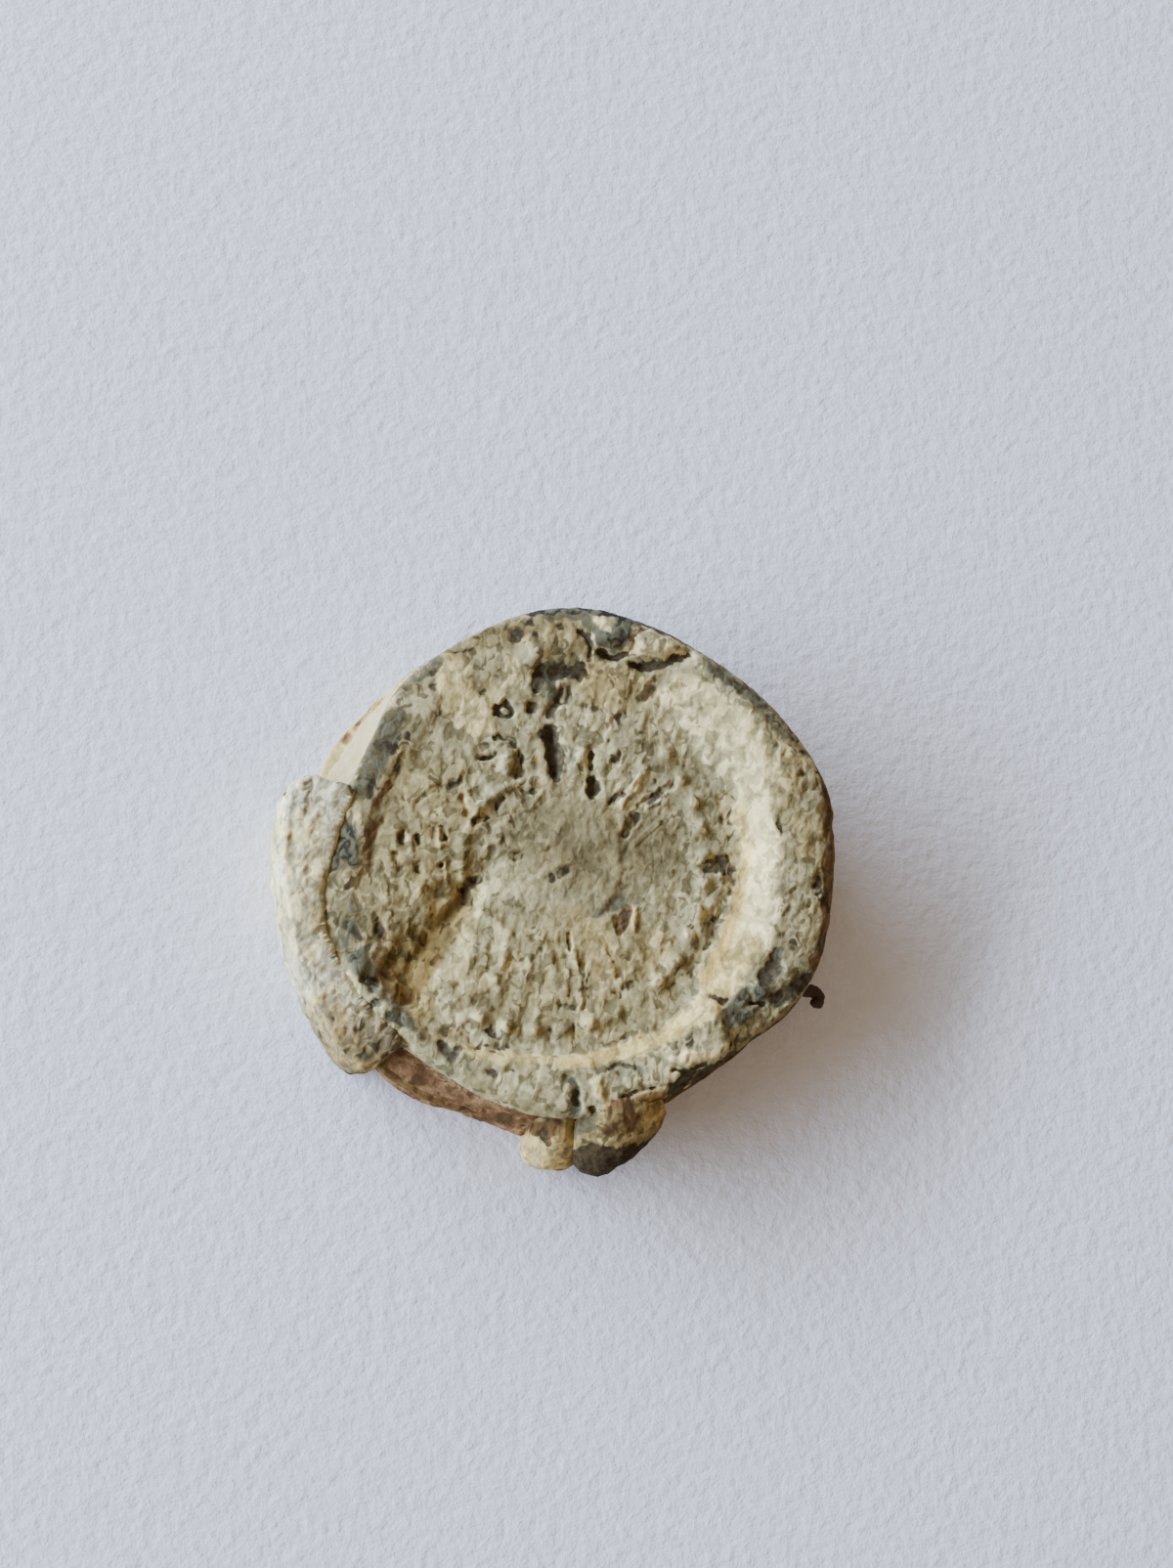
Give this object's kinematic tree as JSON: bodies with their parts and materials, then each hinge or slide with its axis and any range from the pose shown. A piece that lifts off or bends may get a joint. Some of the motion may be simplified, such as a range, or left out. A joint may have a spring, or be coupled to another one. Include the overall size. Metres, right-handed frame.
{
  "type": "lead seal",
  "caption": "Closed round two-leaf lead seal with a raised rim, a rivet through the struck face, a folded side strap and earth in the gap.",
  "frame": {"origin": "on the rivet's axis, in the plane of the flat back face", "axes": "+Z out of the struck front face, +Y to the top of the picture, -X towards the folded strap"},
  "size_m": [0.0209, 0.0209, 0.0039],
  "materials": {
    "oxidised_lead": "powdery lead corrosion, matt",
    "strap_lead": "pale powdery lead corrosion, matt",
    "bare_lead": "dark dull lead",
    "earth": "dry earth",
    "thread": "dark fibre"
  },
  "bodies": {
    "root": {"back_leaf": "oxidised_lead", "gap_earth": "earth", "front_leaf": "oxidised_lead", "rivet": "oxidised_lead", "fold_strap": "strap_lead", "front_stub": "bare_lead", "back_stub": "strap_lead", "thread_stub": "thread"}
  },
  "joints": []
}
